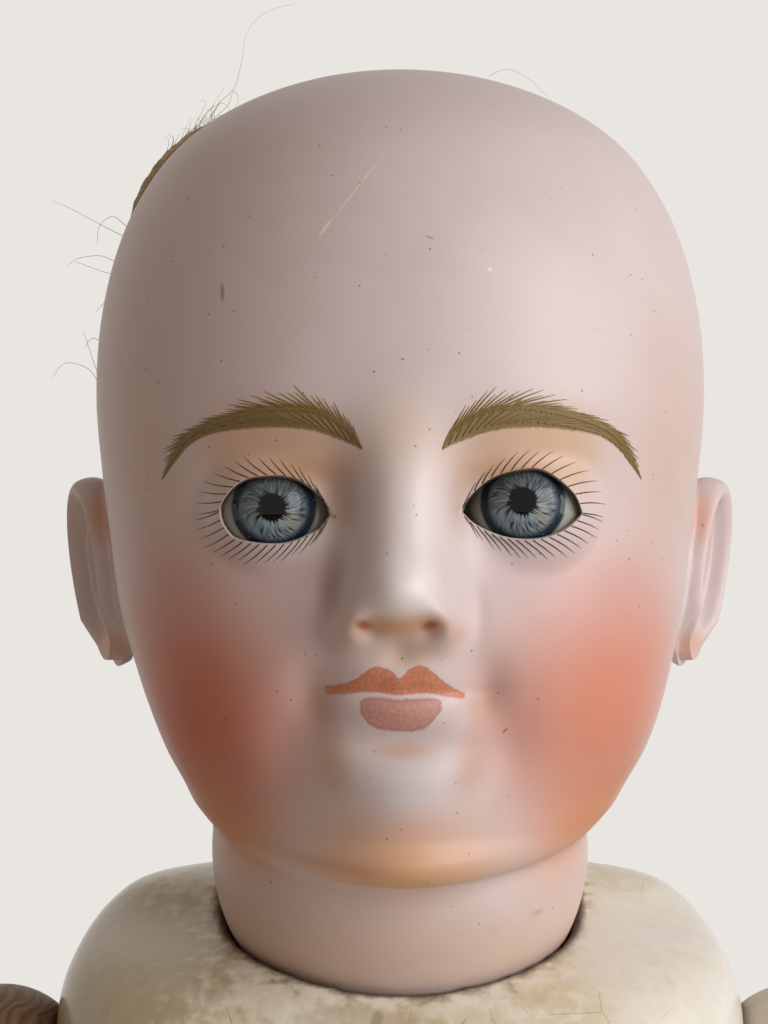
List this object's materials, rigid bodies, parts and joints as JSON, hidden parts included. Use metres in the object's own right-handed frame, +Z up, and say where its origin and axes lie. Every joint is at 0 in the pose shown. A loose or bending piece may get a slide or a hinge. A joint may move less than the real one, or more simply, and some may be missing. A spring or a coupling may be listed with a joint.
{
  "type": "jointed doll with a bisque head",
  "caption": "Standing jointed doll: bald bisque socket head with set glass eyes on a ball-jointed composition body strung with elastic.",
  "frame": {"origin": "on the floor under the middle of the doll's bounding box", "axes": "+Z up, the doll faces -Y, its left side is at +X"},
  "size_m": [0.1828, 0.1067, 0.5335],
  "materials": {
    "bisque": "pale pink unglazed bisque, painted face",
    "eye_glass": "blown glass eye, opaque white ball with a grey-blue threaded iris",
    "plaster": "rough poured plaster",
    "composition": "varnished oil paint over moulded composition, yellowed and scuffed",
    "turned_wood": "bare turned wood, darkened",
    "button_wood": "bare turned wood",
    "leather": "worn thin leather",
    "iron_wire": "dull, lightly rusted iron wire",
    "elastic": "cotton-covered elastic cord",
    "wig_remnant": "old hide glue with scraps of wig cap and mohair"
  },
  "bodies": {
    "torso": {"torso_front": "composition", "torso_back": "composition", "torso_arm_elastic": "elastic", "torso_leg_elastic": "elastic"},
    "neck_fitting": {"neck_hook": "iron_wire", "neck_spring": "iron_wire", "spring_washer": "iron_wire"},
    "neck_swivel": {"neck_button": "button_wood"},
    "head": {"bisque_head": "bisque", "left_eye": "eye_glass", "right_eye": "eye_glass", "left_eye_plaster": "plaster", "right_eye_plaster": "plaster", "neck_leather": "leather", "wig_remnant": "wig_remnant"},
    "left_shoulder_joint": {"left_shoulder_ball": "turned_wood"},
    "left_arm": {"left_upper_arm": "composition", "left_upper_arm_elastic": "elastic"},
    "left_elbow_joint": {"left_elbow_ball": "turned_wood"},
    "left_forearm": {"left_forearm": "composition", "left_forearm_elastic": "elastic", "left_forearm_eyelet": "iron_wire"},
    "left_hip_joint": {"left_hip_ball": "turned_wood"},
    "left_thigh": {"left_thigh": "composition", "left_thigh_elastic": "elastic"},
    "left_knee_joint": {"left_knee_ball": "turned_wood"},
    "left_lower_leg": {"left_lower_leg": "composition", "left_lower_leg_elastic": "elastic", "left_lower_leg_eyelet": "iron_wire"},
    "right_shoulder_joint": {"right_shoulder_ball": "turned_wood"},
    "right_arm": {"right_upper_arm": "composition", "right_upper_arm_elastic": "elastic"},
    "right_elbow_joint": {"right_elbow_ball": "turned_wood"},
    "right_forearm": {"right_forearm": "composition", "right_forearm_elastic": "elastic", "right_forearm_eyelet": "iron_wire"},
    "right_hip_joint": {"right_hip_ball": "turned_wood"},
    "right_thigh": {"right_thigh": "composition", "right_thigh_elastic": "elastic"},
    "right_knee_joint": {"right_knee_ball": "turned_wood"},
    "right_lower_leg": {"right_lower_leg": "composition", "right_lower_leg_elastic": "elastic", "right_lower_leg_eyelet": "iron_wire"}
  },
  "joints": [
    {"name": "head_tilt", "type": "hinge", "parent": "torso", "child": "neck_fitting", "pos_m": [0, 0.0009, 0.417], "axis": [0, 1, 0], "range_deg": [-3, 3], "deforming": ["torso_leg_elastic"]},
    {"name": "head_turn", "type": "hinge", "parent": "neck_fitting", "child": "neck_swivel", "pos_m": [0, 0.0009, 0.417], "axis": [0, 0, 1], "range_deg": [-90, 90]},
    {"name": "head_nod", "type": "hinge", "parent": "neck_swivel", "child": "head", "pos_m": [0, 0.0009, 0.417], "axis": [1, 0, 0], "range_deg": [-6, 6]},
    {"name": "left_arm_swing", "type": "hinge", "parent": "torso", "child": "left_shoulder_joint", "pos_m": [0.06, 0.0009, 0.383], "axis": [-1, 0, 0], "range_deg": [-50, 150]},
    {"name": "left_arm_raise", "type": "hinge", "parent": "left_shoulder_joint", "child": "left_arm", "pos_m": [0.06, 0.0009, 0.383], "axis": [0, -1, 0], "range_deg": [0, 60]},
    {"name": "left_elbow_bend", "type": "hinge", "parent": "left_arm", "child": "left_elbow_joint", "pos_m": [0.0732, 0.0009, 0.30816], "axis": [-0.9848, 0, -0.1736], "range_deg": [0, 75]},
    {"name": "left_forearm_turn", "type": "hinge", "parent": "left_elbow_joint", "child": "left_forearm", "pos_m": [0.0732, 0.0009, 0.30816], "axis": [0.1736, 0, -0.9848], "range_deg": [-90, 90]},
    {"name": "left_leg_swing", "type": "hinge", "parent": "torso", "child": "left_hip_joint", "pos_m": [0.025, 0.0009, 0.247], "axis": [-1, 0, 0], "range_deg": [-10, 75]},
    {"name": "left_leg_spread", "type": "hinge", "parent": "left_hip_joint", "child": "left_thigh", "pos_m": [0.025, 0.0009, 0.247], "axis": [0, -1, 0], "range_deg": [0, 25]},
    {"name": "left_knee_bend", "type": "hinge", "parent": "left_thigh", "child": "left_knee_joint", "pos_m": [0.025, 0.0009, 0.132], "axis": [1, 0, 0], "range_deg": [0, 75]},
    {"name": "left_lower_leg_turn", "type": "hinge", "parent": "left_knee_joint", "child": "left_lower_leg", "pos_m": [0.025, 0.0009, 0.132], "axis": [0, 0, 1], "range_deg": [-20, 20]},
    {"name": "right_arm_swing", "type": "hinge", "parent": "torso", "child": "right_shoulder_joint", "pos_m": [-0.06, 0.0009, 0.383], "axis": [-1, 0, 0], "range_deg": [-50, 150]},
    {"name": "right_arm_raise", "type": "hinge", "parent": "right_shoulder_joint", "child": "right_arm", "pos_m": [-0.06, 0.0009, 0.383], "axis": [0, 1, 0], "range_deg": [0, 60]},
    {"name": "right_elbow_bend", "type": "hinge", "parent": "right_arm", "child": "right_elbow_joint", "pos_m": [-0.0732, 0.0009, 0.30816], "axis": [-0.9848, 0, 0.1736], "range_deg": [0, 75]},
    {"name": "right_forearm_turn", "type": "hinge", "parent": "right_elbow_joint", "child": "right_forearm", "pos_m": [-0.0732, 0.0009, 0.30816], "axis": [-0.1736, 0, -0.9848], "range_deg": [-90, 90]},
    {"name": "right_leg_swing", "type": "hinge", "parent": "torso", "child": "right_hip_joint", "pos_m": [-0.025, 0.0009, 0.247], "axis": [-1, 0, 0], "range_deg": [-10, 75]},
    {"name": "right_leg_spread", "type": "hinge", "parent": "right_hip_joint", "child": "right_thigh", "pos_m": [-0.025, 0.0009, 0.247], "axis": [0, 1, 0], "range_deg": [0, 25]},
    {"name": "right_knee_bend", "type": "hinge", "parent": "right_thigh", "child": "right_knee_joint", "pos_m": [-0.025, 0.0009, 0.132], "axis": [1, 0, 0], "range_deg": [0, 75]},
    {"name": "right_lower_leg_turn", "type": "hinge", "parent": "right_knee_joint", "child": "right_lower_leg", "pos_m": [-0.025, 0.0009, 0.132], "axis": [0, 0, 1], "range_deg": [-20, 20]}
  ]
}
